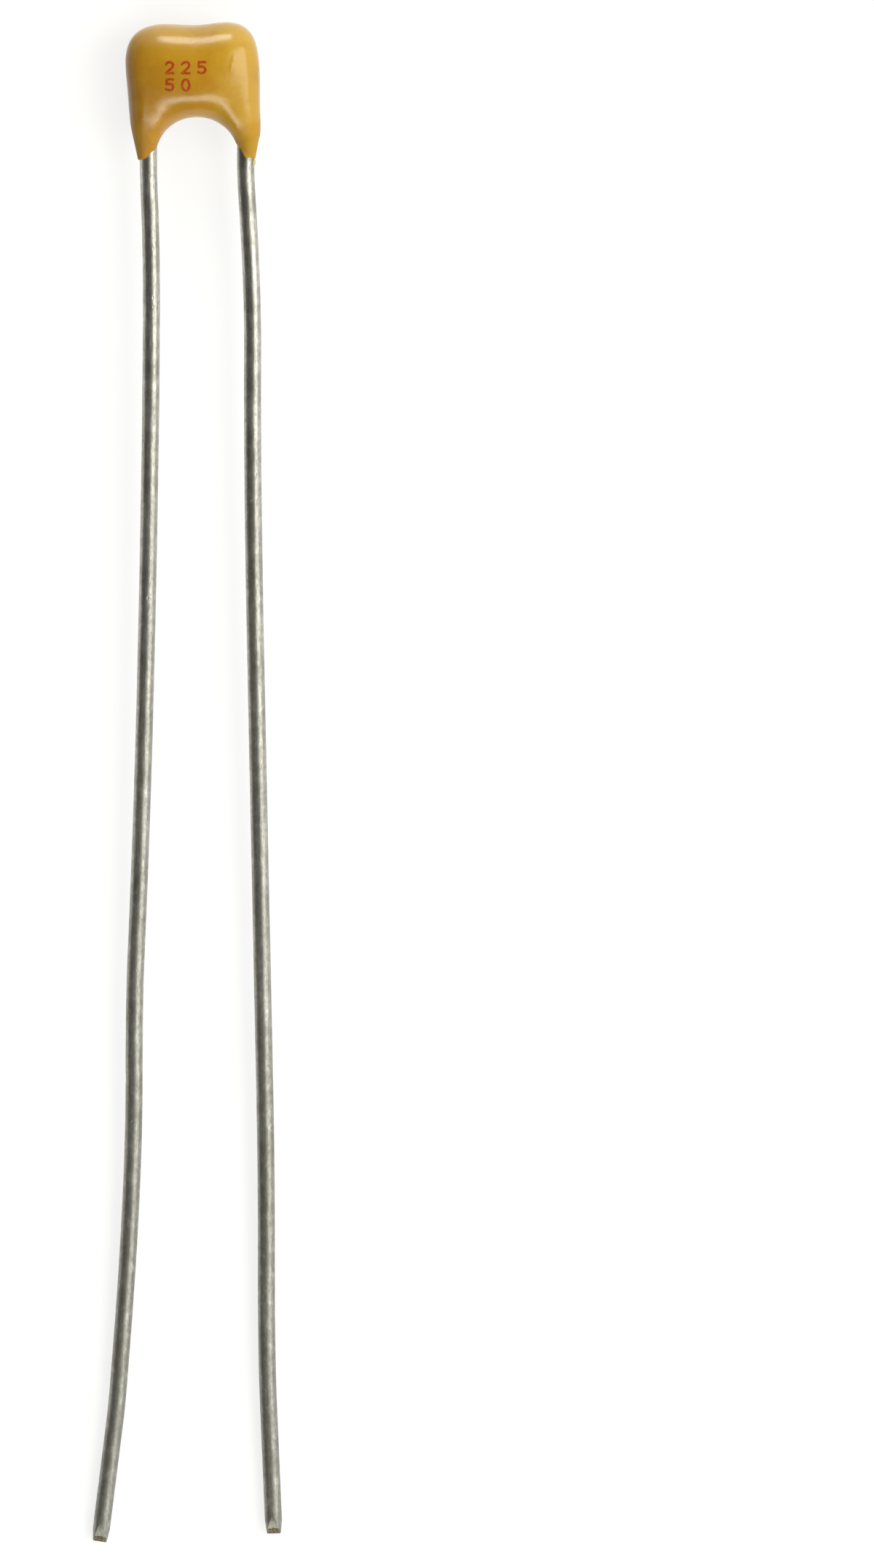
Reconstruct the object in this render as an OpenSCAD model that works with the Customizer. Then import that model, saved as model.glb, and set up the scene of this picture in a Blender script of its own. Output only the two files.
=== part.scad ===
// Radial ceramic capacitor, lying on its back as it comes to rest.
// Inside a dipped epoxy coat, a multilayer ceramic chip sits between two soldered wire leads.
// Millimetres, +X to the right lead, +Y from the lead tips to the coat, +Z up from the floor.
// Sizes are drawn about the middle of the two leads at the coat's lower end, then laid down.

/* [Coat] */
// thickness of the coat, front to back
coat_thickness = 2.1; // [1.8:0.05:2.6]
// height of the coat's left shoulder above the lower end
coat_height = 3.495; // [3.4:0.005:4]
// how much higher the right shoulder stands
shoulder_rise = 0.055; // [0:0.005:0.12]
// how far the top sinks between the shoulders
top_dip = 0.054; // [0:0.002:0.12]
// coat beside the left lead at the widest place
coat_left = 0.375; // [0.25:0.005:0.5]
// coat beside the right lead at the widest place
coat_right = 0.167; // [0.14:0.001:0.4]
// how far the left side leans in towards the lower end
lean_left = 0.13; // [0:0.01:0.2]
// how far the right side leans in towards the top
lean_right = 0.047; // [0:0.001:0.05]
// width of the rounded left shoulder
shoulder_left_w = 0.85; // [0.6:0.01:1]
// height of the rounded left shoulder
shoulder_left_h = 0.82; // [0.6:0.01:0.95]
// width of the rounded right shoulder
shoulder_right_w = 0.7; // [0.6:0.01:0.9]
// height of the rounded right shoulder
shoulder_right_h = 0.9; // [0.6:0.01:1]
// radius of the arch between the two legs
arch_r = 1.085; // [1.06:0.005:1.2]
// how far the left side flares from the lead to the full width
flare_left = 0.23; // [0.15:0.01:0.3]
// how far the right side flares from the lead to the full width
flare_right = 0.057; // [0.03:0.001:0.1]
// how far the coat runs down the outside of the left lead
tail_left = 0.05; // [0.02:0.005:0.06]
// how far the coat runs down the outside of the right lead
tail_right = 0.01; // [0:0.005:0.06]
// skin of coat around a lead where the coat runs out
tail_skin = 0.035; // [0.025:0.005:0.06]
// how squarely the flat faces turn into the rounded edges
edge_power = 2.5; // [2.2:0.1:4]

/* [Chip] */
// height of the chip along the leads
chip_height = 1.25; // [1:0.05:1.3]
// thickness of the chip
chip_thickness = 1; // [0.7:0.05:1.2]
// coat between the arch and the chip
coat_under_chip = 0.5; // [0.35:0.01:0.6]
// thickness of the metal end caps
cap_thickness = 0.03; // [0.02:0.005:0.06]
// how far an end cap reaches along the chip
cap_band = 0.4; // [0.25:0.01:0.6]
// number of electrode plates on each side
plate_pairs = 4; // [2:1:5]
// thickness of an electrode plate
plate_thickness = 0.03; // [0.02:0.005:0.05]
// bare ceramic around a plate's free edges
plate_margin = 0.2; // [0.12:0.01:0.3]

/* [Solder] */
// solder between an end cap and its lead
solder_gap = 0.045; // [0.03:0.005:0.08]
// skin of solder around a lead
solder_skin = 0.03; // [0.02:0.005:0.05]
// solder over the end of a lead
solder_cover = 0.05; // [0.03:0.01:0.1]
// width of the solder on an end cap
solder_width = 0.7; // [0.52:0.02:0.9]

/* [Leads] */
// distance between the two leads at the coat
lead_pitch = 2.54; // [2.5:0.01:2.6]
// diameter of the wire
lead_d = 0.45; // [0.4:0.01:0.5]
// length of the left lead below the coat, along the wire
left_length = 36.65; // [25:0.05:45]
// length of the right lead below the coat, along the wire
right_length = 36.4; // [25:0.05:45]
// straight wire at the left lead's free end
left_end = 3.15; // [2.5:0.05:6]
// straight wire at the right lead's free end
right_end = 3.2; // [2.5:0.05:6]
// length of the pinched slope at a lead's tip
tip_slope = 0.26; // [0.2:0.02:0.6]
// thickness left where the slope ends and the break begins
tip_neck = 0.32; // [0.2:0.01:0.36]
// length of the broken end
tip_break = 0.13; // [0.05:0.01:0.2]
// thickness of the broken edge
tip_edge = 0.12; // [0.06:0.01:0.18]

/* [Hidden] */
$fn = 48;

wire_r = lead_d / 2;
half_pitch = lead_pitch / 2;
chip_length = lead_pitch - lead_d - 2 * solder_gap;
chip_low = arch_r + coat_under_chip;
chip_mid = chip_low + chip_height / 2;
wire_top = chip_low + chip_height - solder_cover;
plate_step = chip_thickness * 0.8 / (2 * plate_pairs);

// where a lead's bends begin below the coat, and how much thinner every other stretch is
core_end = 0.1;
stretch_step = 0.002;
stretch_lap = 0.05;

// each lead's bends below the coat, as a stretch's share of the length and its turn to the right in degrees
left_shares = [
    [0.8, 2.4], [3.1, -2.7], [4.6, -0.7], [6.0, -0.55], [6.4, -1.05], [1.4, 1.75],
    [2.0, 0.75], [2.4, -2.3], [3.4, -1.7], [2.4, -0.6], [0.9, -2.45]
];
right_shares = [
    [0.8, 3.75], [1.9, -1.2], [2.4, -2.8], [4.0, 0.9], [4.0, 0.5], [11.4, 0],
    [4.6, -1.3], [2.4, 1.05], [1.6, 1.5]
];
function total(shares, n) = n == 0 ? 0 : shares[n - 1][0] + total(shares, n - 1);
function stretches(shares, length) = [for (s = shares) [s[0] / total(shares, len(shares)) * length, s[1]]];
left_bends = stretches(left_shares, left_length - core_end - left_end);
right_bends = stretches(right_shares, right_length - core_end - right_end);

function signed_power(x, p) = sign(x) * pow(abs(x), p);
function bend_radius(stretch) = abs(stretch[0] / stretch[1]) * 180 / PI;
function heading(bends, n) = n == 0 ? 0 : bends[n - 1][1] + heading(bends, n - 1);
function chord(stretch) =
    stretch[1] == 0 ? stretch[0] : 2 * bend_radius(stretch) * sin(abs(stretch[1]) / 2);
function step(length, angle) = length * [sin(angle), -cos(angle)];
function lead_point(x, bends, n) =
    n == 0 ? [x, -core_end] : lead_point(x, bends, n - 1)
        + step(chord(bends[n - 1]), heading(bends, n - 1) + bends[n - 1][1] / 2);
function lead_tip(x, bends, end) =
    lead_point(x, bends, len(bends)) + step(end, heading(bends, len(bends)));

// the coat's rim, from the left lead over the top to the right lead
side_l = -half_pitch - wire_r - coat_left;
side_r = half_pitch + wire_r + coat_right;
top_l = coat_height;
top_r = coat_height + shoulder_rise;
high_r = side_r - lean_right;
cut = 1 - cos(45);
rim = [
    [-half_pitch - wire_r - 1.4 * tail_skin, -tail_left],
    [side_l + flare_left, 0.114 * coat_height],
    [side_l + lean_left, 0.257 * coat_height],
    [side_l + lean_left * 0.45, 0.486 * coat_height],
    [side_l, top_l - shoulder_left_h],
    [side_l + shoulder_left_w * cut, top_l - shoulder_left_h * cut],
    [side_l + shoulder_left_w, top_l],
    [(side_l + shoulder_left_w + high_r - shoulder_right_w) / 2, (top_l + top_r) / 2 - top_dip],
    [high_r - shoulder_right_w, top_r],
    [high_r - shoulder_right_w * cut, top_r - shoulder_right_h * cut],
    [high_r, top_r - shoulder_right_h],
    [side_r - lean_right * 0.35, 0.458 * coat_height],
    [side_r, 0.214 * coat_height],
    [side_r - flare_right, 0.12 * coat_height],
    [half_pitch + wire_r + 0.9 * tail_skin, -tail_right]
];
spans = len(rim) - 1;
rings = 56;
ring_points = 32;

// a smooth curve through the rim's points
function rim_at(i) = i < 0 ? 2 * rim[0] - rim[1] : i > spans ? 2 * rim[spans] - rim[spans - 1] : rim[i];
function through(a, b, c, d, t) =
    b + t / 2 * (c - a + t * (2 * a - 5 * b + 4 * c - d + t * (3 * (b - c) + d - a)));
function rim_point(t) =
    let (i = min(floor(t * spans), spans - 1))
    through(rim_at(i - 1), rim_at(i), rim_at(i + 1), rim_at(i + 2), t * spans - i);
arch_from = 165.5;
arch_to = 20.8;
function arch_point(t) = let (a = arch_from + (arch_to - arch_from) * t) arch_r * [cos(a), sin(a)];

// the coat thins like a pillow from its middle to a skin around each lead
function body_share(t) = sin(180 * t);
function half_depth(t) = wire_r + tail_skin + (coat_thickness / 2 - wire_r - tail_skin) * body_share(t);
function power_at(t) = 2 + (edge_power - 2) * body_share(t);
function ring(t) =
    let (
        o = rim_point(t),
        i = arch_point(t),
        mid = (o + i) / 2,
        arm = (o - i) / 2,
        h = half_depth(t),
        p = 2 / power_at(t)
    )
    [for (k = [0:ring_points - 1])
        let (
            a = 360 * k / ring_points,
            c = signed_power(cos(a), p),
            s = signed_power(sin(a), p)
        )
        [mid.x + arm.x * c, mid.y + arm.y * c, h * s]];

coat_points = [for (n = [0:rings]) each ring(n / rings)];

// how it lies: the coat's back and both lead tips on the floor
left_tip = lead_tip(-half_pitch, left_bends, left_end);
right_tip = lead_tip(half_pitch, right_bends, right_end);
tip_long = tip_slope + tip_break;
touch_y = 0.651 * coat_height;
rest_tilt = atan((coat_thickness / 2 - wire_r) / (touch_y - left_tip.y - tip_long));
function laid(p) = [p.x, p.y * cos(rest_tilt) - p.z * sin(rest_tilt), p.y * sin(rest_tilt) + p.z * cos(rest_tilt)];
coat_laid = [for (p = coat_points) laid(p)];
floor_z = min(laid([0, left_tip.y + tip_long, -wire_r]).z, min([for (p = coat_laid) p.z]));
left_x = left_tip.x - wire_r * cos(heading(left_bends, len(left_bends)));
right_x = right_tip.x + wire_r * cos(heading(right_bends, len(right_bends)));
far_y = max([for (p = coat_laid) p.y]);
near_y = min(laid([0, left_tip.y, 0]).y, laid([0, right_tip.y, 0]).y);
rest_at = [-(left_x + right_x) / 2, -(far_y + near_y) / 2, -floor_z];

module at_rest() {
    translate(rest_at) rotate([rest_tilt, 0, 0]) children();
}

module coat_form() {
    last = rings * ring_points;
    polyhedron(
        points = coat_points,
        faces = concat(
            [for (n = [0:rings - 1], k = [0:ring_points - 1])
                let (a = n * ring_points + k, b = n * ring_points + (k + 1) % ring_points)
                each [[a, a + ring_points, b], [b, a + ring_points, b + ring_points]]],
            [[for (k = [0:ring_points - 1]) k]],
            [[for (k = [0:ring_points - 1]) last + ring_points - 1 - k]]
        )
    );
}

// the ceramic inside its end caps
module chip_block(trim) {
    translate([0, chip_mid, 0])
        cube([chip_length - 2 * trim, chip_height - 2 * trim, chip_thickness - 2 * trim], center = true);
}

// a wire along Y at the origin, from y = 0 down
module straight(length, r) {
    rotate([90, 0, 0]) cylinder(h = length, r = r);
}

module lead_core(x) {
    translate([x, wire_top, 0]) straight(wire_top + core_end, wire_r);
}

// plates of one side, stacked through the chip's thickness
module plates(side) {
    reach = chip_length - 2 * cap_thickness - plate_margin;
    for (n = [0:plate_pairs - 1])
        translate([
            side * plate_margin / 2,
            chip_mid,
            (2 * n - plate_pairs + 1 + (side > 0 ? 0.5 : -0.5)) * plate_step
        ])
            cube([reach, chip_height - 2 * cap_thickness - 2 * plate_margin, plate_thickness], center = true);
}

// an end cap's outer shape, and the cap itself
module cap_block(side) {
    translate([side * (chip_length - cap_band) / 2, chip_mid, 0])
        cube([cap_band, chip_height, chip_thickness], center = true);
}

module end_cap(side) {
    difference() {
        cap_block(side);
        chip_block(cap_thickness);
    }
}

// solder between an end cap and its lead, closed over the lead's end
module solder_form(side) {
    translate([0, chip_low + chip_height, 0])
        rotate([90, 0, 0])
            linear_extrude(height = chip_height) {
                translate([side * half_pitch, 0]) circle(r = wire_r + solder_skin);
                polygon([
                    side * [chip_length / 2, -solder_width / 2],
                    side * [half_pitch, -wire_r],
                    side * [half_pitch, wire_r],
                    side * [chip_length / 2, solder_width / 2]
                ]);
            }
}

// one stretch of wire from y = 0 down, lapping into its neighbours where it is the thinner one
module stretch_of_wire(stretch, thin) {
    r = thin ? wire_r - stretch_step : wire_r;
    lap = thin ? stretch_lap : 0;
    turn = stretch[1];
    if (turn == 0) {
        translate([0, lap, 0]) straight(stretch[0] + 2 * lap, r);
    } else {
        big = bend_radius(stretch);
        more = lap / big * 180 / PI;
        if (turn > 0)
            translate([big, 0, 0]) rotate([0, 0, 180 - more])
                rotate_extrude(angle = turn + 2 * more) translate([big, 0]) circle(r = r);
        else
            translate([-big, 0, 0]) rotate([0, 0, turn - more])
                rotate_extrude(angle = -turn + 2 * more) translate([big, 0]) circle(r = r);
    }
}

module after_stretch(stretch) {
    turn = stretch[1];
    if (turn == 0) {
        translate([0, -stretch[0], 0]) children();
    } else {
        side = sign(turn) * bend_radius(stretch);
        translate([side, 0, 0]) rotate([0, 0, turn]) translate([-side, 0, 0]) children();
    }
}

// the pinched tip: slopes on the front and the back, then the broken end
module tip_wedge() {
    over = lead_d;
    rotate([0, 90, 0])
        linear_extrude(height = 2 * lead_d, center = true)
            polygon([
                [-wire_r, tip_long],
                [-tip_neck / 2, tip_break],
                [-tip_edge / 2, 0],
                [-tip_edge / 2, -over],
                [-over, -over],
                [-over, tip_long]
            ]);
}

module free_end(length) {
    difference() {
        straight(length, wire_r);
        translate([0, -length, 0]) tip_wedge();
        translate([0, -length, 0]) mirror([0, 0, 1]) tip_wedge();
    }
}

module lead_run(bends, end, n) {
    if (n == len(bends)) {
        free_end(end);
    } else {
        stretch_of_wire(bends[n], n % 2 == 0);
        after_stretch(bends[n]) lead_run(bends, end, n + 1);
    }
}

module lead(x, bends, end) {
    lead_core(x);
    translate([x, -core_end, 0]) lead_run(bends, end, 0);
}

module epoxy_coat() {
    color("darkgoldenrod") at_rest()
        difference() {
            coat_form();
            chip_block(cap_thickness);
            cap_block(-1);
            cap_block(1);
            solder_form(-1);
            solder_form(1);
            lead_core(-half_pitch);
            lead_core(half_pitch);
        }
}

module ceramic_chip() {
    color("bisque") at_rest()
        difference() {
            chip_block(cap_thickness);
            plates(-1);
            plates(1);
        }
}

module left_plates() {
    color("slategray") at_rest() plates(-1);
}

module right_plates() {
    color("slategray") at_rest() plates(1);
}

module left_cap() {
    color("gainsboro") at_rest() end_cap(-1);
}

module right_cap() {
    color("gainsboro") at_rest() end_cap(1);
}

module left_solder() {
    color("lightsteelblue") at_rest()
        difference() {
            solder_form(-1);
            lead_core(-half_pitch);
        }
}

module right_solder() {
    color("lightsteelblue") at_rest()
        difference() {
            solder_form(1);
            lead_core(half_pitch);
        }
}

module left_lead() {
    color("silver") at_rest() lead(-half_pitch, left_bends, left_end);
}

module right_lead() {
    color("silver") at_rest() lead(half_pitch, right_bends, right_end);
}

epoxy_coat();
ceramic_chip();
left_plates();
right_plates();
left_cap();
right_cap();
left_solder();
right_solder();
left_lead();
right_lead();
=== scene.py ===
"""Dresses the lying ceramic capacitor: dipped coat, tinned leads with pinched tips, and ink numbers."""

import math
import random

import bmesh
import bpy
import numpy as np
from mathutils import Matrix, Vector, noise
from mathutils.bvhtree import BVHTree


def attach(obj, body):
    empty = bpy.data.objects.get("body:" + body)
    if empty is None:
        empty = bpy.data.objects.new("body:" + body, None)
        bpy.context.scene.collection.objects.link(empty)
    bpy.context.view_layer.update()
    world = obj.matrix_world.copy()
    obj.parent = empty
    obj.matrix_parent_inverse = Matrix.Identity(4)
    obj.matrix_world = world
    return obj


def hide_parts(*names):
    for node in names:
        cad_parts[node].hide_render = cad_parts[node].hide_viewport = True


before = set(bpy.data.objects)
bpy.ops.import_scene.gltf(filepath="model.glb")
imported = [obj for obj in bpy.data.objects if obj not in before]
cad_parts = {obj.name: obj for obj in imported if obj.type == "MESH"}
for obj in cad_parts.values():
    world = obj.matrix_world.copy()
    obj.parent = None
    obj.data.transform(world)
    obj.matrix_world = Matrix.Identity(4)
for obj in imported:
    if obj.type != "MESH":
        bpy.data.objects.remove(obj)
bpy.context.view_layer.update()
MM = 0.001

# Sizes in millimetres, about the middle of the two leads at the coat's lower end.
COAT_THICKNESS = 2.1
COAT_HEIGHT = 3.495
SHOULDER_RISE = 0.055
TOP_DIP = 0.054
COAT_LEFT, COAT_RIGHT = 0.375, 0.167
LEAN_LEFT, LEAN_RIGHT = 0.13, 0.047
SHOULDER_LEFT = (0.85, 0.82)
SHOULDER_RIGHT = (0.7, 0.9)
FLARE_LEFT, FLARE_RIGHT = 0.23, 0.057
TAIL_LEFT, TAIL_RIGHT = 0.05, 0.01
TAIL_SKIN = 0.035
ARCH_R = 1.085
ARCH_FROM, ARCH_TO = math.radians(165.5), math.radians(20.8)
EDGE_POWER = 2.5
LEAD_PITCH, LEAD_D = 2.54, 0.45
HALF_PITCH, WIRE_R = LEAD_PITCH / 2, LEAD_D / 2
CHIP_GAP, CHIP_HEIGHT, SOLDER_COVER = 0.5, 1.25, 0.05
WIRE_TOP = ARCH_R + CHIP_GAP + CHIP_HEIGHT - SOLDER_COVER
CORE_END = 0.1
LEFT_END, RIGHT_END = 3.15, 3.2
# The tips: the lengths of the pinched facets, then the thickness that they leave, and the broken end's length
# and last thickness, then how far the facets lean, the stretch with fine steps, and the broken core's width.
LEFT_SLOPE, RIGHT_SLOPE = 0.4, 0.32
TIP_NECK, TIP_BREAK, TIP_EDGE = 0.31, 0.155, 0.12
TIP_LEAN = 0.1
TIP_FINE, TIP_STEP = 0.6, 0.01
CORE_SHARE = 0.74
# The stretches of each lead from the coat down: a length, and a turn in degrees.
LEFT_BENDS = [
    (0.8, 2.4), (3.1, -2.7), (4.6, -0.7), (6.0, -0.55), (6.4, -1.05), (1.4, 1.75),
    (2.0, 0.75), (2.4, -2.3), (3.4, -1.7), (2.4, -0.6), (0.9, -2.45),
]
RIGHT_BENDS = [
    (0.8, 3.75), (1.9, -1.2), (2.4, -2.8), (4.0, 0.9), (4.0, 0.5), (11.4, 0.0),
    (4.6, -1.3), (2.4, 1.05), (1.6, 1.5),
]
# How the part lies on the floor: a small tilt about X, then a shift.
REST_TILT = math.radians(1.22807)
REST_AT = (0.29749, 16.5202, 1.001)
REST = Matrix.Translation(Vector(REST_AT) * MM) @ Matrix.Rotation(REST_TILT, 4, "X") @ Matrix.Scale(MM, 4)


def linear(r, g, b):
    """A colour written as 8-bit values, as the linear values that the shaders take."""
    def one(c):
        c /= 255
        return c / 12.92 if c <= 0.04045 else ((c + 0.055) / 1.055) ** 2.4
    return one(r), one(g), one(b), 1.0


def blend(t):
    """A smooth step from 0 to 1."""
    t = np.clip(t, 0, 1)
    return t * t * (3 - 2 * t)


def finish_piece(name, bm, materials):
    """Turns a bmesh in millimetres into a piece in the row frame that rides on the part."""
    mesh = bpy.data.meshes.new(name)
    bm.to_mesh(mesh)
    bm.free()
    mesh.transform(REST)
    obj = bpy.data.objects.new(name, mesh)
    bpy.context.scene.collection.objects.link(obj)
    for m in materials:
        mesh.materials.append(m)
    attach(obj, "root")
    return obj


# Materials

class Nodes:
    """A short way to write the nodes of a material or of the world."""

    def __init__(self, owner, shader):
        owner.use_nodes = True
        self.material = owner
        self.tree = owner.node_tree
        self.shader = self.tree.nodes[shader]

    def feed(self, socket, value):
        """Links another node's output to a socket, or sets the socket to a plain value."""
        if isinstance(value, bpy.types.NodeSocket):
            self.tree.links.new(value, socket)
        else:
            socket.default_value = value

    def add(self, kind, values=None, **settings):
        n = self.tree.nodes.new(kind)
        for k, v in settings.items():
            setattr(n, k, v)
        for k, v in (values or {}).items():
            self.feed(n.inputs[k], v)
        return n

    def set(self, **values):
        for k, v in values.items():
            self.feed(self.shader.inputs[k.replace("_", " ")], v)

    def place(self, scale=(1, 1, 1)):
        """Object coordinates in millimetres, stretched."""
        c = self.add("ShaderNodeTexCoord").outputs["Object"]
        s = tuple(v / MM for v in scale)
        return self.add("ShaderNodeMapping", {"Vector": c, "Scale": s}).outputs["Vector"]

    def noise(self, vector, scale, detail=3.0, rough=0.5):
        v = {"Vector": vector, "Scale": scale, "Detail": detail, "Roughness": rough}
        return self.add("ShaderNodeTexNoise", v).outputs["Fac"]

    def share(self, value, low, high, **settings):
        """0 to 1 as a value goes from one end to the other."""
        v = {"Value": value, "From Min": low, "From Max": high}
        return self.add("ShaderNodeMapRange", v, **settings).outputs["Result"]

    def ramp(self, fac, *stops, interpolation="LINEAR"):
        n = self.add("ShaderNodeValToRGB", {"Fac": fac})
        n.color_ramp.interpolation = interpolation
        e = n.color_ramp.elements
        while len(e) < len(stops):
            e.new(0.5)
        for at, (place, colour) in zip(e, stops):
            at.position = place
            at.color = colour if isinstance(colour, tuple) else (colour, colour, colour, 1)
        return n.outputs["Color"]

    def mix(self, fac, a, b, mode="MIX"):
        n = self.add("ShaderNodeMix", data_type="RGBA", blend_type=mode)
        for k, v in zip((0, 6, 7), (fac, a, b)):
            self.feed(n.inputs[k], v)
        return n.outputs[2]

    def math(self, op, a, b):
        return self.add("ShaderNodeMath", {0: a, 1: b}, operation=op).outputs[0]

    def bump(self, height, strength, distance):
        v = {"Height": height, "Strength": strength, "Distance": distance * MM}
        return self.add("ShaderNodeBump", v).outputs["Normal"]

    def specks(self, vector, scale, share, size):
        """1 in small round specks: a share of the cells of a Voronoi pattern, each up to a size."""
        v = self.add("ShaderNodeTexVoronoi", {"Vector": vector, "Scale": scale, "Randomness": 1.0})
        dot = self.ramp(v.outputs["Distance"], (size * 0.55, 1.0), (size, 0.0))
        pick = self.add("ShaderNodeSeparateColor", {"Color": v.outputs["Color"]}).outputs["Red"]
        chosen = self.ramp(pick, (share, 1.0), (share + 0.001, 0.0), interpolation="CONSTANT")
        return self.math("MULTIPLY", dot, chosen)

    def seen(self):
        """1 for a look, straight, in a mirror or through glass, and 0 for the light that is given."""
        path = self.add("ShaderNodeLightPath").outputs
        either = self.math("MAXIMUM", path["Is Camera Ray"], path["Is Glossy Ray"])
        return self.math("MAXIMUM", either, path["Is Transmission Ray"])


def new_material(name):
    return Nodes(bpy.data.materials.new(name), "Principled BSDF")


# The colours: on the left with painted shade, on the right with painted light, in deep and pale clouds, and
# at the ends on the wires.
EPOXY = (
    linear(178, 122, 31), linear(200, 153, 36), linear(184, 128, 27), linear(206, 160, 48),
    linear(180, 129, 8),
)
THIN_EPOXY = (
    linear(206, 196, 132), linear(210, 202, 142), linear(190, 178, 110), linear(222, 216, 164),
    linear(206, 196, 132),
)
# A painted light colour for the coat's top, lit from above, and the colour of dark specks.
LIT_TOP_COLOUR, SPECK_COLOUR = linear(208, 168, 44), linear(110, 74, 24)
# How far to each side the painted shade on the left runs over into the painted light on the right.
PAINTED_SHADE_X = 1.6
# Painted light on the coat's top: the Y in millimetres where it begins and where it is full, and how much of
# it.
TOP_FROM, TOP_TO, LIT_TOP_SHARE = 19.0, 20.0, 0.6
# The ends are duller, about a place on each leg, growing from one distance from it to a nearer one.
DULL_AT = (1.6, 0.2)
DULL_FAR, DULL_NEAR = 1.16, 0.78
DULL_ROUGH, DULL_COLOUR, DULL_SHINE = 0.22, 0.4, 0.25
SHINE = 0.5


def epoxy_material(name, colours):
    m = new_material(name)
    left, right, deep, pale, end = colours
    p = m.place()
    place = m.add("ShaderNodeSeparateXYZ", {"Vector": p}).outputs
    # Painted shade and light: the coat is darker on its left side and brighter on its right, where the light
    # falls from.
    middle = m.mix(m.share(place["X"], -PAINTED_SHADE_X, PAINTED_SHADE_X), left, right)
    # Painted light: the coat's top is lighter, as if lit from above.
    up = m.math("MULTIPLY", m.share(place["Y"], TOP_FROM, TOP_TO), LIT_TOP_SHARE)
    middle = m.mix(up, middle, LIT_TOP_COLOUR)
    cloud = m.noise(p, 0.9, 3.0, 0.55)
    grain = m.noise(p, 14.0, 2.0, 0.6)
    colour = m.mix(m.ramp(cloud, (0.3, 0.7), (0.48, 0.0)), middle, deep)
    colour = m.mix(m.ramp(cloud, (0.52, 0.0), (0.72, 0.7)), colour, pale)
    colour = m.mix(m.ramp(grain, (0.35, 0.0), (0.75, 0.22)), colour, deep)
    dark = m.specks(p, 7.0, 0.14, 0.12)
    colour = m.mix(m.math("MULTIPLY", dark, 0.5), colour, SPECK_COLOUR)
    pits = m.specks(p, 16.0, 0.2, 0.26)
    height = m.math("SUBTRACT", m.noise(p, 7.0, 3.0, 0.5), m.math("MULTIPLY", pits, 0.5))
    gloss = m.ramp(m.noise(p, 6.0, 3.0, 0.6), (0.3, 0.19), (0.7, 0.27))
    wander = m.math("MULTIPLY", m.noise(p, 2.2, 2.0, 0.5), 0.3)
    normal = m.add("ShaderNodeTexCoord").outputs["Normal"]
    facing = m.add("ShaderNodeSeparateXYZ", {"Vector": normal}).outputs["X"]
    shine = m.ramp(m.share(facing, -1.0, 1.0), (0.12, 0.13), (0.36, SHINE), (0.85, SHINE), (0.98, 0.18))
    for x in (-DULL_AT[0], DULL_AT[0]):
        at = REST @ Vector((x, DULL_AT[1], 0)) / MM
        gap = m.add("ShaderNodeVectorMath", {0: p, 1: tuple(at)}, operation="SUBTRACT").outputs[0]
        flat = m.add("ShaderNodeVectorMath", {0: gap, 1: (1, 1, 0)}, operation="MULTIPLY").outputs[0]
        away = m.add("ShaderNodeVectorMath", {0: flat}, operation="LENGTH").outputs["Value"]
        away = m.math("ADD", away, wander)
        dull = m.share(away, DULL_FAR, DULL_NEAR, interpolation_type="SMOOTHSTEP")
        gloss = m.math("ADD", gloss, m.math("MULTIPLY", dull, DULL_ROUGH))
        colour = m.mix(m.math("MULTIPLY", dull, DULL_COLOUR), colour, end)
        less = m.math("SUBTRACT", SHINE, m.math("MULTIPLY", dull, DULL_SHINE))
        shine = m.math("MINIMUM", shine, less)
    m.set(
        Base_Color=colour,
        Roughness=gloss,
        IOR=1.6,
        Specular_IOR_Level=shine,
        Normal=m.bump(height, 0.35, 0.012),
    )
    return m.material


# The wires are brighter near the coat than near their tips.
NEW_Y, WORN_Y = 14.0, -17.0


def wire_material():
    m = new_material("tinned_wire")
    p = m.place()
    along = m.add("ShaderNodeSeparateXYZ", {"Vector": p}).outputs["Y"]
    worn = m.share(along, NEW_Y, WORN_Y)
    streak = m.noise(m.place((9.0, 0.55, 9.0)), 1.0, 4.0, 0.6)
    grain = m.noise(m.place((1.0, 0.45, 1.0)), 20.0, 3.0, 0.6)
    stain = m.noise(p, 1.3, 5.0, 0.62)
    mottle = m.noise(m.place((1.0, 0.6, 1.0)), 6.0, 3.0, 0.6)
    line = m.noise(m.place((30.0, 1.6, 30.0)), 1.0, 2.0, 0.6)
    colour = m.mix(worn, linear(214, 212, 204), linear(166, 165, 159))
    colour = m.mix(m.ramp(stain, (0.36, 0.5), (0.56, 0.0)), colour, linear(140, 137, 128))
    colour = m.mix(m.ramp(streak, (0.36, 0.4), (0.6, 0.0)), colour, linear(136, 133, 124))
    colour = m.mix(m.ramp(grain, (0.36, 0.38), (0.58, 0.0)), colour, linear(118, 115, 106))
    colour = m.mix(m.ramp(mottle, (0.34, 0.26), (0.54, 0.0)), colour, linear(112, 109, 102))
    colour = m.mix(m.ramp(line, (0.36, 0.26), (0.56, 0.0)), colour, linear(104, 101, 94))
    colour = m.mix(m.ramp(mottle, (0.56, 0.0), (0.72, 0.26)), colour, linear(232, 230, 222))
    spots = m.specks(p, 4.2, 0.2, 0.14)
    colour = m.mix(m.math("MULTIPLY", spots, 0.5), colour, linear(84, 80, 72))
    rough = m.math("ADD", m.ramp(grain, (0.3, 0.43), (0.7, 0.33)), m.math("MULTIPLY", worn, 0.1))
    nicks = m.specks(m.place((1.0, 0.5, 1.0)), 7.0, 0.1, 0.2)
    height = m.math("ADD", m.math("MULTIPLY", streak, 0.4), m.math("MULTIPLY", grain, 0.5))
    height = m.math("ADD", height, m.math("MULTIPLY", line, 0.25))
    height = m.math("SUBTRACT", height, nicks)
    m.set(
        Base_Color=colour,
        Metallic=1.0,
        Roughness=rough,
        Normal=m.bump(height, 0.45, 0.012),
    )
    return m.material


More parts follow.
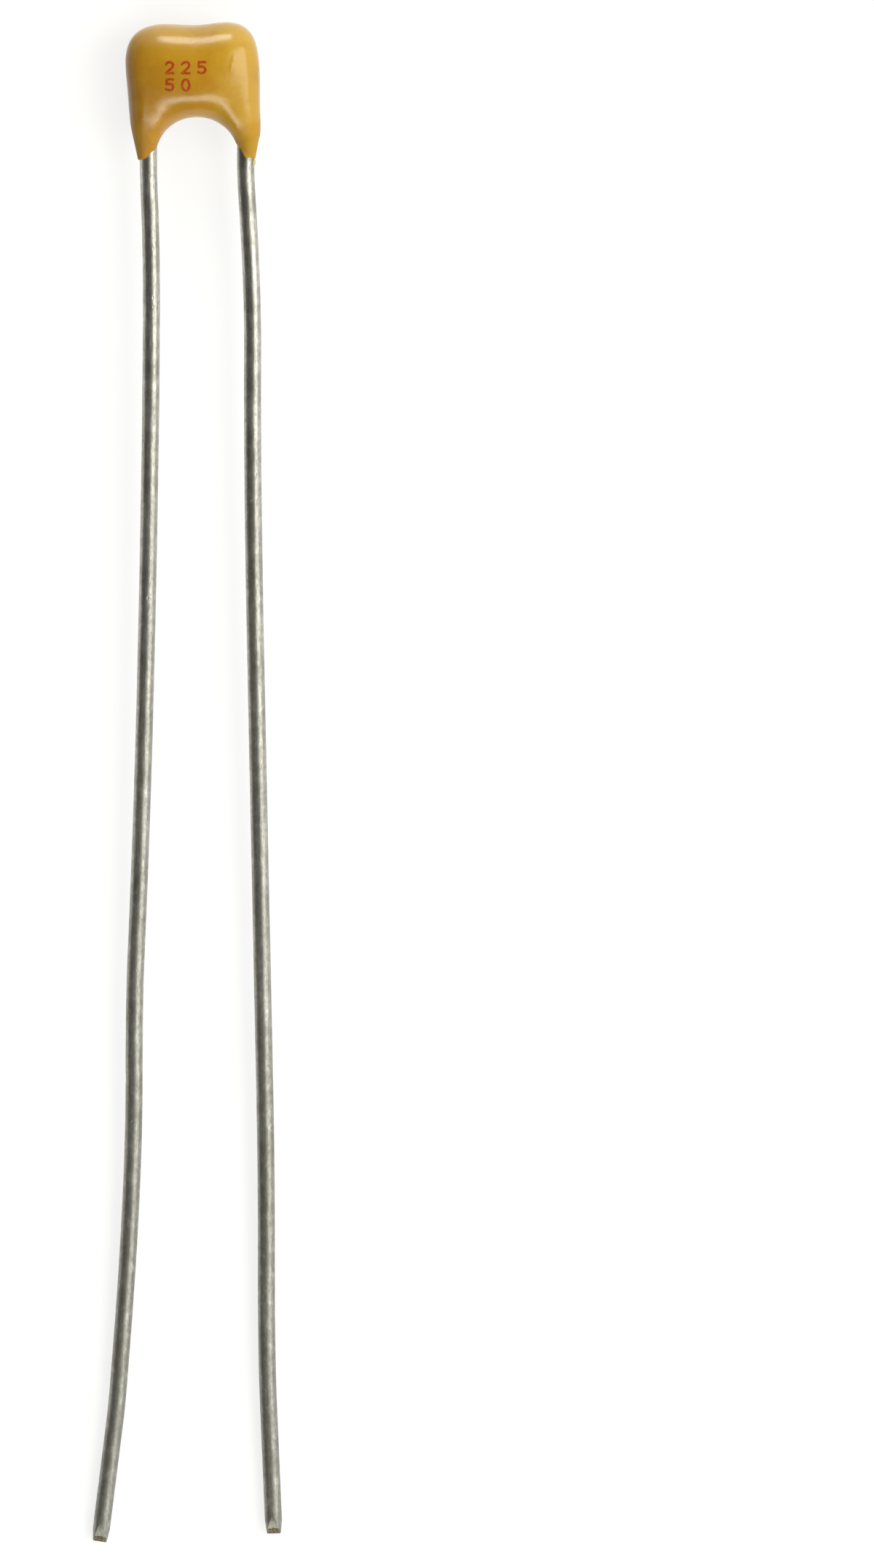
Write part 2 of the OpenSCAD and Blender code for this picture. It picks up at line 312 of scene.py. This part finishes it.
def core_material():
    m = new_material("broken_wire_core")
    p = m.place()
    n = m.noise(p, 26.0, 4.0, 0.65)
    dark, middle, pale = linear(82, 70, 52), linear(124, 111, 90), linear(188, 180, 164)
    m.set(
        Base_Color=m.ramp(n, (0.34, dark), (0.52, middle), (0.72, pale)),
        Metallic=0.7,
        Roughness=m.ramp(n, (0.3, 0.65), (0.7, 0.45)),
        Normal=m.bump(n, 0.8, 0.02),
    )
    return m.material


def ink_material():
    m = new_material("red_ink")
    p = m.place()
    worn = m.ramp(m.noise(p, 22.0, 3.0, 0.6), (0.33, 0.75), (0.5, 0.0))
    colour = m.mix(worn, linear(172, 54, 14), linear(190, 118, 28))
    m.set(
        Base_Color=colour,
        Roughness=m.ramp(m.noise(p, 9.0, 2.0), (0.3, 0.3), (0.7, 0.42)),
        Normal=m.bump(m.noise(p, 18.0, 2.0), 0.2, 0.006),
    )
    return m.material


def plain_metal(name, low, high, grain, rough):
    m = new_material(name)
    n = m.noise(m.place(), grain, 4.0, 0.6)
    m.set(
        Base_Color=m.ramp(n, (0.3, low), (0.7, high)),
        Metallic=1.0,
        Roughness=m.ramp(n, (0.3, rough + 0.1), (0.7, rough - 0.05)),
        Normal=m.bump(n, 0.2, 0.006),
    )
    return m.material


def ceramic_material():
    m = new_material("sintered_ceramic")
    p = m.place()
    n = m.noise(p, 18.0, 4.0, 0.6)
    m.set(
        Base_Color=m.ramp(n, (0.3, linear(150, 128, 104)), (0.7, linear(178, 156, 130))),
        Roughness=m.ramp(n, (0.3, 0.55), (0.7, 0.7)),
        Normal=m.bump(n, 0.25, 0.006),
    )
    return m.material


epoxy = epoxy_material("dipped_epoxy", EPOXY)
thin_epoxy = epoxy_material("thin_epoxy", THIN_EPOXY)
tinned = wire_material()
core = core_material()
ink = ink_material()
inner = {
    "ceramic_chip": ceramic_material(),
    "left_plates": plain_metal("electrode_metal", linear(120, 120, 122), linear(160, 160, 162), 12.0, 0.4),
    "left_cap": plain_metal("plated_cap", linear(170, 168, 162), linear(205, 203, 198), 10.0, 0.35),
    "left_solder": plain_metal("solder", linear(176, 176, 176), linear(212, 212, 212), 6.0, 0.25),
}
for node in ("plates", "cap", "solder"):
    inner["right_" + node] = inner["left_" + node]
for node, material in inner.items():
    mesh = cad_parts[node].data
    mesh.materials.clear()
    mesh.materials.append(material)


# The coat: rings between the arch and the rim, thick in the body and thin around each lead

side_l = -HALF_PITCH - WIRE_R - COAT_LEFT
side_r = HALF_PITCH + WIRE_R + COAT_RIGHT
top_l, top_r = COAT_HEIGHT, COAT_HEIGHT + SHOULDER_RISE
high_r = side_r - LEAN_RIGHT
CUT = 1 - math.cos(math.pi / 4)
RIM = np.array([
    (-HALF_PITCH - WIRE_R - 1.4 * TAIL_SKIN, -TAIL_LEFT),
    (side_l + FLARE_LEFT, 0.114 * COAT_HEIGHT),
    (side_l + LEAN_LEFT, 0.257 * COAT_HEIGHT),
    (side_l + LEAN_LEFT * 0.45, 0.486 * COAT_HEIGHT),
    (side_l, top_l - SHOULDER_LEFT[1]),
    (side_l + SHOULDER_LEFT[0] * CUT, top_l - SHOULDER_LEFT[1] * CUT),
    (side_l + SHOULDER_LEFT[0], top_l),
    ((side_l + SHOULDER_LEFT[0] + high_r - SHOULDER_RIGHT[0]) / 2, (top_l + top_r) / 2 - TOP_DIP),
    (high_r - SHOULDER_RIGHT[0], top_r),
    (high_r - SHOULDER_RIGHT[0] * CUT, top_r - SHOULDER_RIGHT[1] * CUT),
    (high_r, top_r - SHOULDER_RIGHT[1]),
    (side_r - LEAN_RIGHT * 0.35, 0.458 * COAT_HEIGHT),
    (side_r, 0.214 * COAT_HEIGHT),
    (side_r - FLARE_RIGHT, 0.12 * COAT_HEIGHT),
    (HALF_PITCH + WIRE_R + 0.9 * TAIL_SKIN, -TAIL_RIGHT),
])
SPANS = len(RIM) - 1


def rim_point(t):
    """The smooth curve through the rim's points."""
    if t < 0:
        return 2 * RIM[0] - rim_point(-t)
    if t > 1:
        return 2 * RIM[-1] - rim_point(2 - t)
    i = min(int(t * SPANS), SPANS - 1)
    f = t * SPANS - i
    a = RIM[i - 1] if i > 0 else 2 * RIM[0] - RIM[1]
    b, c = RIM[i], RIM[i + 1]
    d = RIM[i + 2] if i + 2 <= SPANS else 2 * RIM[-1] - RIM[-2]
    return b + f / 2 * (c - a + f * (2 * a - 5 * b + 4 * c - d + f * (3 * (b - c) + d - a)))


SOFTEN = 0.014
TAPS = [k / 3 for k in range(-6, 7)]
WEIGHTS = np.array([math.exp(-k * k / 2) for k in TAPS])
WEIGHTS /= WEIGHTS.sum()


def soft_rim_point(t):
    """The rim with its changes of curvature evened out."""
    return sum(w * rim_point(t + k * SOFTEN) for k, w in zip(TAPS, WEIGHTS))


def coat_ring(t, angles):
    """One closed ring of the coat, from the arch to the rim and back."""
    o = soft_rim_point(t)
    a = ARCH_FROM + (ARCH_TO - ARCH_FROM) * t
    i = ARCH_R * np.array([math.cos(a), math.sin(a)])
    mid, arm = (o + i) / 2, (o - i) / 2
    share = math.sin(math.pi * t)
    h = WIRE_R + TAIL_SKIN + (COAT_THICKNESS / 2 - WIRE_R - TAIL_SKIN) * share
    power = 2 + (EDGE_POWER - 2) * share
    c, s = np.cos(angles), np.sin(angles)
    r = (np.abs(c) ** power + np.abs(s) ** power) ** (-1 / power)
    return np.stack([mid[0] + arm[0] * r * c, mid[1] + arm[1] * r * c, h * r * s], 1)


def tail_rings(ring, x, drop, count=7):
    """Rings that round the coat's end off onto the wire, each point running down by its own drop."""
    rho = ring - np.array([x, 0, 0])
    rho[:, 1] = 0
    length = np.linalg.norm(rho, axis=1)
    inside = WIRE_R - 0.004
    out = []
    for k in range(1, count + 1):
        f = 1 - (1 - k / count) ** 2
        radius = inside + (length - inside) * (1 - f) ** 0.55
        p = np.array([x, 0, 0]) + rho * (radius / length)[:, None]
        p[:, 1] = ring[:, 1] - drop * f
        out.append(p)
    return out


def ripple(angles, seed):
    """An uneven wave round the wire."""
    r = random.Random(seed)
    return sum(r.uniform(0.3, 1) / k * np.cos(k * angles + r.uniform(0, 6.3)) for k in range(2, 8))


def front_lip(angles, middle, extra):
    """Lets the coat run further down on the wire's front, about an angle in degrees."""
    return extra * np.exp(-((np.degrees(angles) - middle) / 32) ** 2)


COAT_RINGS, COAT_AROUND = 360, 232
LIP_DROP, LIP_RIPPLE = 0.014, 0.01
LIP_LEAST, LIP_MOST = 0.006, 0.2


def end_drop(angles, seed, middle, extra):
    """How far the coat's end runs down on the wire at each angle."""
    drop = LIP_DROP + LIP_RIPPLE * ripple(angles, seed) + front_lip(angles, middle, extra)
    return np.clip(drop, LIP_LEAST, LIP_MOST)


def coat_mesh():
    around = COAT_AROUND
    angles = np.arange(around) * 2 * math.pi / around
    ts = np.linspace(0, 1, COAT_RINGS + 1)
    rows = [coat_ring(t, angles) for t in ts]
    rows = tail_rings(rows[0], -HALF_PITCH, end_drop(angles, 3, 80, 0.045))[::-1] + rows
    rows += tail_rings(rows[-1], HALF_PITCH, end_drop(angles, 5, 92, 0.14))
    bm = bmesh.new()
    grid = [[bm.verts.new(p) for p in row] for row in rows]
    for a, b in zip(grid, grid[1:]):
        for k in range(around):
            n = (k + 1) % around
            bm.faces.new((a[k], a[n], b[n], b[k])).smooth = True
    bm.faces.new(grid[0][::-1])
    bm.faces.new(grid[-1])
    bmesh.ops.recalc_face_normals(bm, faces=bm.faces)
    bm.normal_update()
    for v in bm.verts:
        v.co += v.normal * unevenness(v.co)
    bm.normal_update()
    return bm


def bump_at(p, at, size, turn, height):
    """A smooth little hill on the coat's front, stretched and turned in the front's plane."""
    if p.z < 0:
        return 0.0
    c, s = math.cos(turn), math.sin(turn)
    x, y = p.x - at[0], p.y - at[1]
    u, v = (x * c + y * s) / size[0], (y * c - x * s) / size[1]
    q = u * u + v * v
    return height * math.exp(-q) if q < 12 else 0.0


# Small hills and drips: the place, the half sizes, the turn and the height.
HILLS = [
    ((0.95, 2.72), (0.045, 0.1), -0.25, 0.008),
    ((0.9, 2.52), (0.045, 0.09), -0.1, 0.009),
    ((0.99, 2.6), (0.07, 0.2), -0.15, 0.006),
    ((1.05, 0.86), (0.03, 0.04), 0.6, 0.007),
    ((-1.2, 0.84), (0.035, 0.04), 0.0, 0.008),
    ((-1.27, 0.63), (0.03, 0.045), 0.3, 0.007),
    ((-1.33, 0.29), (0.03, 0.04), 0.2, 0.007),
    ((-1.45, 3.0), (0.12, 0.1), 0.2, 0.005),
]


def unevenness(p):
    """Slow waves of a dipped coat, a few drips, and calm ends on the wires."""
    calm = min(1.0, max(0.0, (p.y - 0.1) / 0.5))
    d = 0.008 * noise.noise(p / 0.8) + 0.0025 * noise.noise(p / 0.3 + Vector((5, 2, 9)))
    d += sum(bump_at(p, *h) for h in HILLS)
    return d * calm


coat_bm = coat_mesh()
coat_tree = BVHTree.FromBMesh(coat_bm)
coat = finish_piece("epoxy_skin", coat_bm, [epoxy])
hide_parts("epoxy_coat")


def front_of_coat(x, y):
    """The height of the coat's front."""
    hit = coat_tree.ray_cast(Vector((x, y, 5)), Vector((0, 0, -1)))
    return hit[0].z


# The leads: round wire along each lead's bends, with a pinched and broken tip

WIRE_STEP, WIRE_AROUND = 0.05, 72
DENT_COUNT, DENTED_LENGTH = 70, 36.5


def lead_path(x, bends, end):
    """Points along the wire's middle with the heading at each, from the wire's top to its tip."""
    pts = [(x, y, 0.0) for y in np.linspace(WIRE_TOP, -CORE_END, 40)]
    at, heading = np.array([x, -CORE_END]), 0.0
    for length, turn in [*bends, (end - TIP_FINE, 0.0), (TIP_FINE, 0.0)]:
        n = max(2, int(length / (WIRE_STEP if length > TIP_FINE else TIP_STEP)))
        for k in range(n):
            h = heading + math.radians(turn) * (k + 0.5) / n
            at = at + length / n * np.array([math.sin(h), -math.cos(h)])
            pts.append((*at, heading + math.radians(turn) * (k + 1) / n))
        heading += math.radians(turn)
    return pts


def dents(seed, count, length):
    """Dents and bumps of a wire: the place along it, the angle, the length, the width and the height."""
    r = random.Random(seed)
    return [
        (r.uniform(0.3, length), r.uniform(0, 2 * math.pi), r.uniform(0.04, 0.14), r.uniform(0.03, 0.09),
         r.choice((-1, -1, 0.6)) * r.uniform(0.002, 0.007))
        for _ in range(count)
    ]


BREAK_POWER, SLOPE_POWER, BREAK_ROUGH = 0.7, 1.8, 0.012
# How much of the width the tip loses, each with the distance from the tip where it starts.
TAPER, TAPER_FROM = 0.16, 0.4
ROUNDING, ROUNDING_FROM = 0.08, 0.04
CORE_WAVE, CORE_CORNER, CORE_REACH = 0.014, 0.026, 0.06


def tip_shape(left, slope, angles, seed):
    """Half the thickness and the width's share that the cutter leaves, at a distance from the tip."""
    long = slope + TIP_BREAK
    half = WIRE_R
    if left < TIP_BREAK:
        half = TIP_EDGE / 2 + (TIP_NECK - TIP_EDGE) / 2 * (left / TIP_BREAK) ** BREAK_POWER
    elif left < long:
        half = WIRE_R - (WIRE_R - TIP_NECK / 2) * ((long - left) / slope) ** SLOPE_POWER
    half = np.full(len(angles), half)
    if left < TIP_BREAK:
        rough = [noise.noise(Vector((9 * math.cos(a), left * 40, seed))) for a in angles]
        half += BREAK_ROUGH * np.array(rough)
    width = 1 - TAPER * float(blend(1 - left / TAPER_FROM))
    width -= ROUNDING * max(0.0, 1 - left / ROUNDING_FROM) ** 2
    return half, width


def core_edge(left, angles, seed):
    """How far each point moves towards the tip, so that the broken core's upper edge is uneven and round."""
    wave = np.array([CORE_WAVE * noise.noise(Vector((4 * math.cos(a), math.sin(a), seed))) for a in angles])
    corner = CORE_CORNER * np.minimum(np.abs(np.cos(angles)) / CORE_SHARE, 1) ** 4
    return (wave + corner) * math.exp(-((left - TIP_BREAK) / CORE_REACH) ** 2)


def lead_mesh(x, bends, end, slope, seed):
    path = lead_path(x, bends, end)
    around = WIRE_AROUND
    angles = np.arange(around) * 2 * math.pi / around
    marks = dents(seed, DENT_COUNT, DENTED_LENGTH)
    runs = [-WIRE_TOP - CORE_END]
    for a, b in zip(path, path[1:]):
        runs.append(runs[-1] + math.dist(a[:2], b[:2]))
    bm = bmesh.new()
    grid = []
    for (px, py, h), run in zip(path, runs):
        free = float(blend((run + 0.2) / 0.6))
        radius = WIRE_R + free * 0.0016 * noise.noise(Vector((run / 1.7, seed, 0)))
        radius = radius + free * np.array([
            0.0012 * noise.noise(Vector((run / 0.8, 2 * math.cos(a), 2 * math.sin(a) + seed))) for a in angles
        ])
        for s, a, ls, la, d in marks:
            if abs(run - s) < 3 * ls:
                gap = (angles - a + math.pi) % (2 * math.pi) - math.pi
                radius = radius + free * d * np.exp(-((run - s) / ls) ** 2 - (gap * WIRE_R / la) ** 2)
        wide, thick = radius * np.cos(angles), radius * np.sin(angles)
        left = runs[-1] - run
        if left < TIP_FINE:
            half, share = tip_shape(left, slope, angles, seed)
            half = half + TIP_LEAN * wide
            wide, thick = wide * share, np.clip(thick, -half, half)
        across = np.array([math.cos(h), math.sin(h), 0])
        along = np.array([math.sin(h), -math.cos(h), 0])
        ring = np.array([px, py, 0]) + wide[:, None] * across + thick[:, None] * np.array([0, 0, 1.0])
        ring += core_edge(left, angles, seed)[:, None] * along
        grid.append([bm.verts.new(p) for p in ring])
    for n, (a, b) in enumerate(zip(grid, grid[1:])):
        left = runs[-1] - (runs[n] + runs[n + 1]) / 2
        for k in range(around):
            middle = math.cos(angles[k] + math.pi / around)
            broken = left < TIP_BREAK and abs(middle) < CORE_SHARE
            f = bm.faces.new((a[k], a[(k + 1) % around], b[(k + 1) % around], b[k]))
            f.smooth = True
            f.material_index = int(broken)
    bm.faces.new(grid[0])
    bm.faces.new(grid[-1][::-1]).material_index = 1
    bmesh.ops.recalc_face_normals(bm, faces=bm.faces)
    return bm


for side, x, bends, end, slope, seed in (
    ("left", -HALF_PITCH, LEFT_BENDS, LEFT_END, LEFT_SLOPE, 11),
    ("right", HALF_PITCH, RIGHT_BENDS, RIGHT_END, RIGHT_SLOPE, 12),
):
    wire = finish_piece(side + "_wire", lead_mesh(x, bends, end, slope, seed), [tinned, core])
    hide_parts(side + "_lead")


# The ink: plain numbers on the coat's front

STROKE = 0.06
GLYPH_W, GLYPH_H = 0.19, 0.29
ARC = [(math.cos(math.radians(a)), math.sin(math.radians(a))) for a in range(0, 361, 15)]
GLYPHS = {
    "2": [
        (0.0, 0.78), (0.16, 0.95), (0.5, 1.0), (0.84, 0.95), (1.0, 0.76), (0.86, 0.52),
        (0.0, 0.0), (1.0, 0.0),
    ],
    "5": [
        (0.95, 1.0), (0.1, 1.0), (0.05, 0.56), (0.5, 0.62), (0.88, 0.52), (1.0, 0.3),
        (0.86, 0.07), (0.48, 0.0), (0.0, 0.1),
    ],
    "0": [(0.5 + 0.5 * c, 0.5 + 0.5 * s) for c, s in ARC],
}
ROWS = [("225", (-0.8, 2.35)), ("50", (-0.8, 1.89))]
ROW_PITCH = 0.42
INK_CELL, INK_MARGIN = 0.011, 0.05
INK_ABOVE, INK_DEEP = 0.004, 0.012


def segment_gap(p, a, b):
    """The distance of a point from a straight piece of a stroke."""
    d = (b[0] - a[0], b[1] - a[1])
    k = ((p[0] - a[0]) * d[0] + (p[1] - a[1]) * d[1]) / max(d[0] ** 2 + d[1] ** 2, 1e-12)
    k = min(1.0, max(0.0, k))
    return math.dist(p, (a[0] + k * d[0], a[1] + k * d[1]))


def ink_depth(p, stroke):
    """How far inside a printed stroke a point is, with the edge's small wander."""
    gap = min(segment_gap(p, a, b) for a, b in zip(stroke, stroke[1:]))
    wander = 0.009 * noise.noise(Vector((p[0] * 22, p[1] * 22, 3)))
    return STROKE / 2 - gap + wander


def inside_part(corners):
    """The part of a cell where the depth is positive, as a polygon."""
    out = []
    for (p, f), (q, g) in zip(corners, corners[1:] + corners[:1]):
        if f > 0:
            out.append(p)
        if (f > 0) != (g > 0):
            k = f / (f - g)
            out.append((p[0] + k * (q[0] - p[0]), p[1] + k * (q[1] - p[1])))
    return out


def ink_mesh():
    bm = bmesh.new()
    for text, (x0, y0) in ROWS:
        for n, ch in enumerate(text):
            ox = x0 + n * ROW_PITCH
            stroke = [(ox + x * GLYPH_W, y0 + y * GLYPH_H) for x, y in GLYPHS[ch]]
            cols = int((GLYPH_W + 2 * INK_MARGIN) / INK_CELL)
            rows = int((GLYPH_H + 2 * INK_MARGIN) / INK_CELL)
            xs = [ox - INK_MARGIN + i * INK_CELL for i in range(cols + 1)]
            ys = [y0 - INK_MARGIN + j * INK_CELL for j in range(rows + 1)]
            pts = [[(x, y) for x in xs] for y in ys]
            depth = [[ink_depth(p, stroke) for p in row] for row in pts]
            for j in range(rows):
                for i in range(cols):
                    ring = [(j, i), (j, i + 1), (j + 1, i + 1), (j + 1, i)]
                    poly = inside_part([(pts[a][b], depth[a][b]) for a, b in ring])
                    if len(poly) > 2:
                        bm.faces.new([bm.verts.new((x, y, front_of_coat(x, y) + INK_ABOVE)) for x, y in poly])
    bmesh.ops.remove_doubles(bm, verts=bm.verts, dist=1e-4)
    skin = bmesh.ops.extrude_face_region(bm, geom=list(bm.faces))
    for v in skin["geom"]:
        if isinstance(v, bmesh.types.BMVert):
            v.co.z -= INK_DEEP
    bmesh.ops.recalc_face_normals(bm, faces=bm.faces)
    return bm


finish_piece("ink_numbers", ink_mesh(), [ink])


# A small drop of epoxy left on the right lead

DROP_AT = (1.478, -0.11, 0.06)
DROP_SIZE = (0.062, 0.115, 0.09)


def drop_mesh():
    bm = bmesh.new()
    bmesh.ops.create_icosphere(bm, subdivisions=4, radius=1.0)
    for v in bm.verts:
        p = v.co.copy()
        swell = 1 + 0.12 * noise.noise(p * 1.3 + Vector((4, 1, 7)))
        slim = 1 - 0.45 * p.y * p.y
        v.co = Vector((
            DROP_AT[0] + DROP_SIZE[0] * p.x * swell * slim,
            DROP_AT[1] + DROP_SIZE[1] * p.y,
            DROP_AT[2] + DROP_SIZE[2] * p.z * swell * slim,
        ))
    for f in bm.faces:
        f.smooth = True
    return bm


finish_piece("epoxy_drop", drop_mesh(), [thin_epoxy])


# Floor, light and camera

FLOOR_HALF, FLOOR_GLOW = 4.0, 0.72


def floor_material():
    m = new_material("pale_floor")
    n = m.noise(m.place((0.02, 0.02, 0.02)), 3.0, 2.0)
    m.set(
        Base_Color=m.ramp(n, (0.3, 0.36), (0.7, 0.38)),
        Roughness=0.9,
        Specular_IOR_Level=0.0,
        Emission_Color=(1, 1, 1, 1),
        Emission_Strength=m.math("MULTIPLY", m.seen(), FLOOR_GLOW),
    )
    return m.material


def floor():
    mesh = bpy.data.meshes.new("floor")
    bm = bmesh.new()
    bmesh.ops.create_grid(bm, x_segments=8, y_segments=8, size=FLOOR_HALF)
    bm.to_mesh(mesh)
    bm.free()
    obj = bpy.data.objects.new("floor", mesh)
    bpy.context.scene.collection.objects.link(obj)
    mesh.materials.append(floor_material())


LAMP_TINT = (1.0, 1.0, 0.9)
LAMP_AWAY = 0.4


def softbox(name, direction, size, radiance):
    """A rectangular lamp that faces the coat, as bright as a surface of that radiance."""
    lamp = bpy.data.lights.new(name, "AREA")
    lamp.shape = "RECTANGLE"
    lamp.size, lamp.size_y = size
    lamp.energy = radiance * math.pi * size[0] * size[1]
    lamp.color = LAMP_TINT
    obj = bpy.data.objects.new(name, lamp)
    bpy.context.scene.collection.objects.link(obj)
    aim = REST @ Vector((0, 1.5, 0))
    back = Vector(direction).normalized()
    obj.location = aim + back * LAMP_AWAY
    obj.rotation_mode = "QUATERNION"
    obj.rotation_quaternion = back.to_track_quat("Z", "Y")
    obj.visible_camera = False


floor()
softbox("right_box", (0.72, 0.06, 0.69), (0.34, 0.33), 2.5)
softbox("head_box", (0.0, 0.96, 0.28), (0.2, 0.2), 5.6)
softbox("foot_box", (0.0, -0.755, 0.655), (0.64, 0.095), 5.05)


# Directions lower than this look past the floor's end.
PALE_BELOW = 0.03


def studio():
    """A room bright on the right and past the coat's top, dark on the left, and white past the floor."""
    world = bpy.data.worlds.new("studio")
    bpy.context.scene.world = world
    w = Nodes(world, "Background")
    generated = w.add("ShaderNodeTexCoord").outputs["Generated"]
    towards = w.add("ShaderNodeSeparateXYZ", {"Vector": generated}).outputs

    def level(axis, *stops):
        """The light from each direction by its share along an axis, from -1 to 1."""
        return w.ramp(w.share(towards[axis], -1.0, 1.0), *[((at + 1) / 2, grey) for at, grey in stops])

    across = level(
        "X", (-1, 0.1), (-0.8, 0.04), (-0.4, 0.02), (0.1, 0.02),
        (0.28, 0.3), (0.6, 0.5), (0.85, 0.75), (1, 0.9),
    )
    along = level("Y", (-1, 0.0), (0.55, 0.0), (0.75, 0.5), (1, 1.0))
    room = w.mix(1.0, across, along, "ADD")
    low = w.math("LESS_THAN", towards["Z"], PALE_BELOW)
    w.set(Color=w.mix(w.math("MULTIPLY", low, w.seen()), room, (1, 1, 1, 1)))


studio()

# The photograph is near enough a parallel view, from a little above the coat's front.
PIXEL = 0.01908 * MM
IMAGE_W, IMAGE_H = 1200, 2152
FRONT_TILT = math.radians(8.0)
CAMERA_AWAY = 1.0
SENSOR = 36
AIM_SHIFT = 2.4
SEAT_PIXEL = (271.3, 216.0)
right = (IMAGE_W / 2 - SEAT_PIXEL[0]) * PIXEL / MM
down = (IMAGE_H / 2 - SEAT_PIXEL[1] - AIM_SHIFT) * PIXEL / MM / math.cos(FRONT_TILT)
aim = REST @ Vector((right, -down, 0))
tilt = FRONT_TILT - REST_TILT
camera = bpy.data.objects.new("camera", bpy.data.cameras.new("camera"))
bpy.context.scene.collection.objects.link(camera)
camera.location = aim + Vector((0, math.sin(tilt), math.cos(tilt))) * CAMERA_AWAY
camera.rotation_euler = (-tilt, 0, 0)
camera.data.sensor_width = SENSOR
camera.data.lens = SENSOR * CAMERA_AWAY / (IMAGE_H * PIXEL)
camera.data.clip_start, camera.data.clip_end = 0.01, 20
bpy.context.scene.camera = camera
bpy.context.scene.view_settings.view_transform = "Standard"
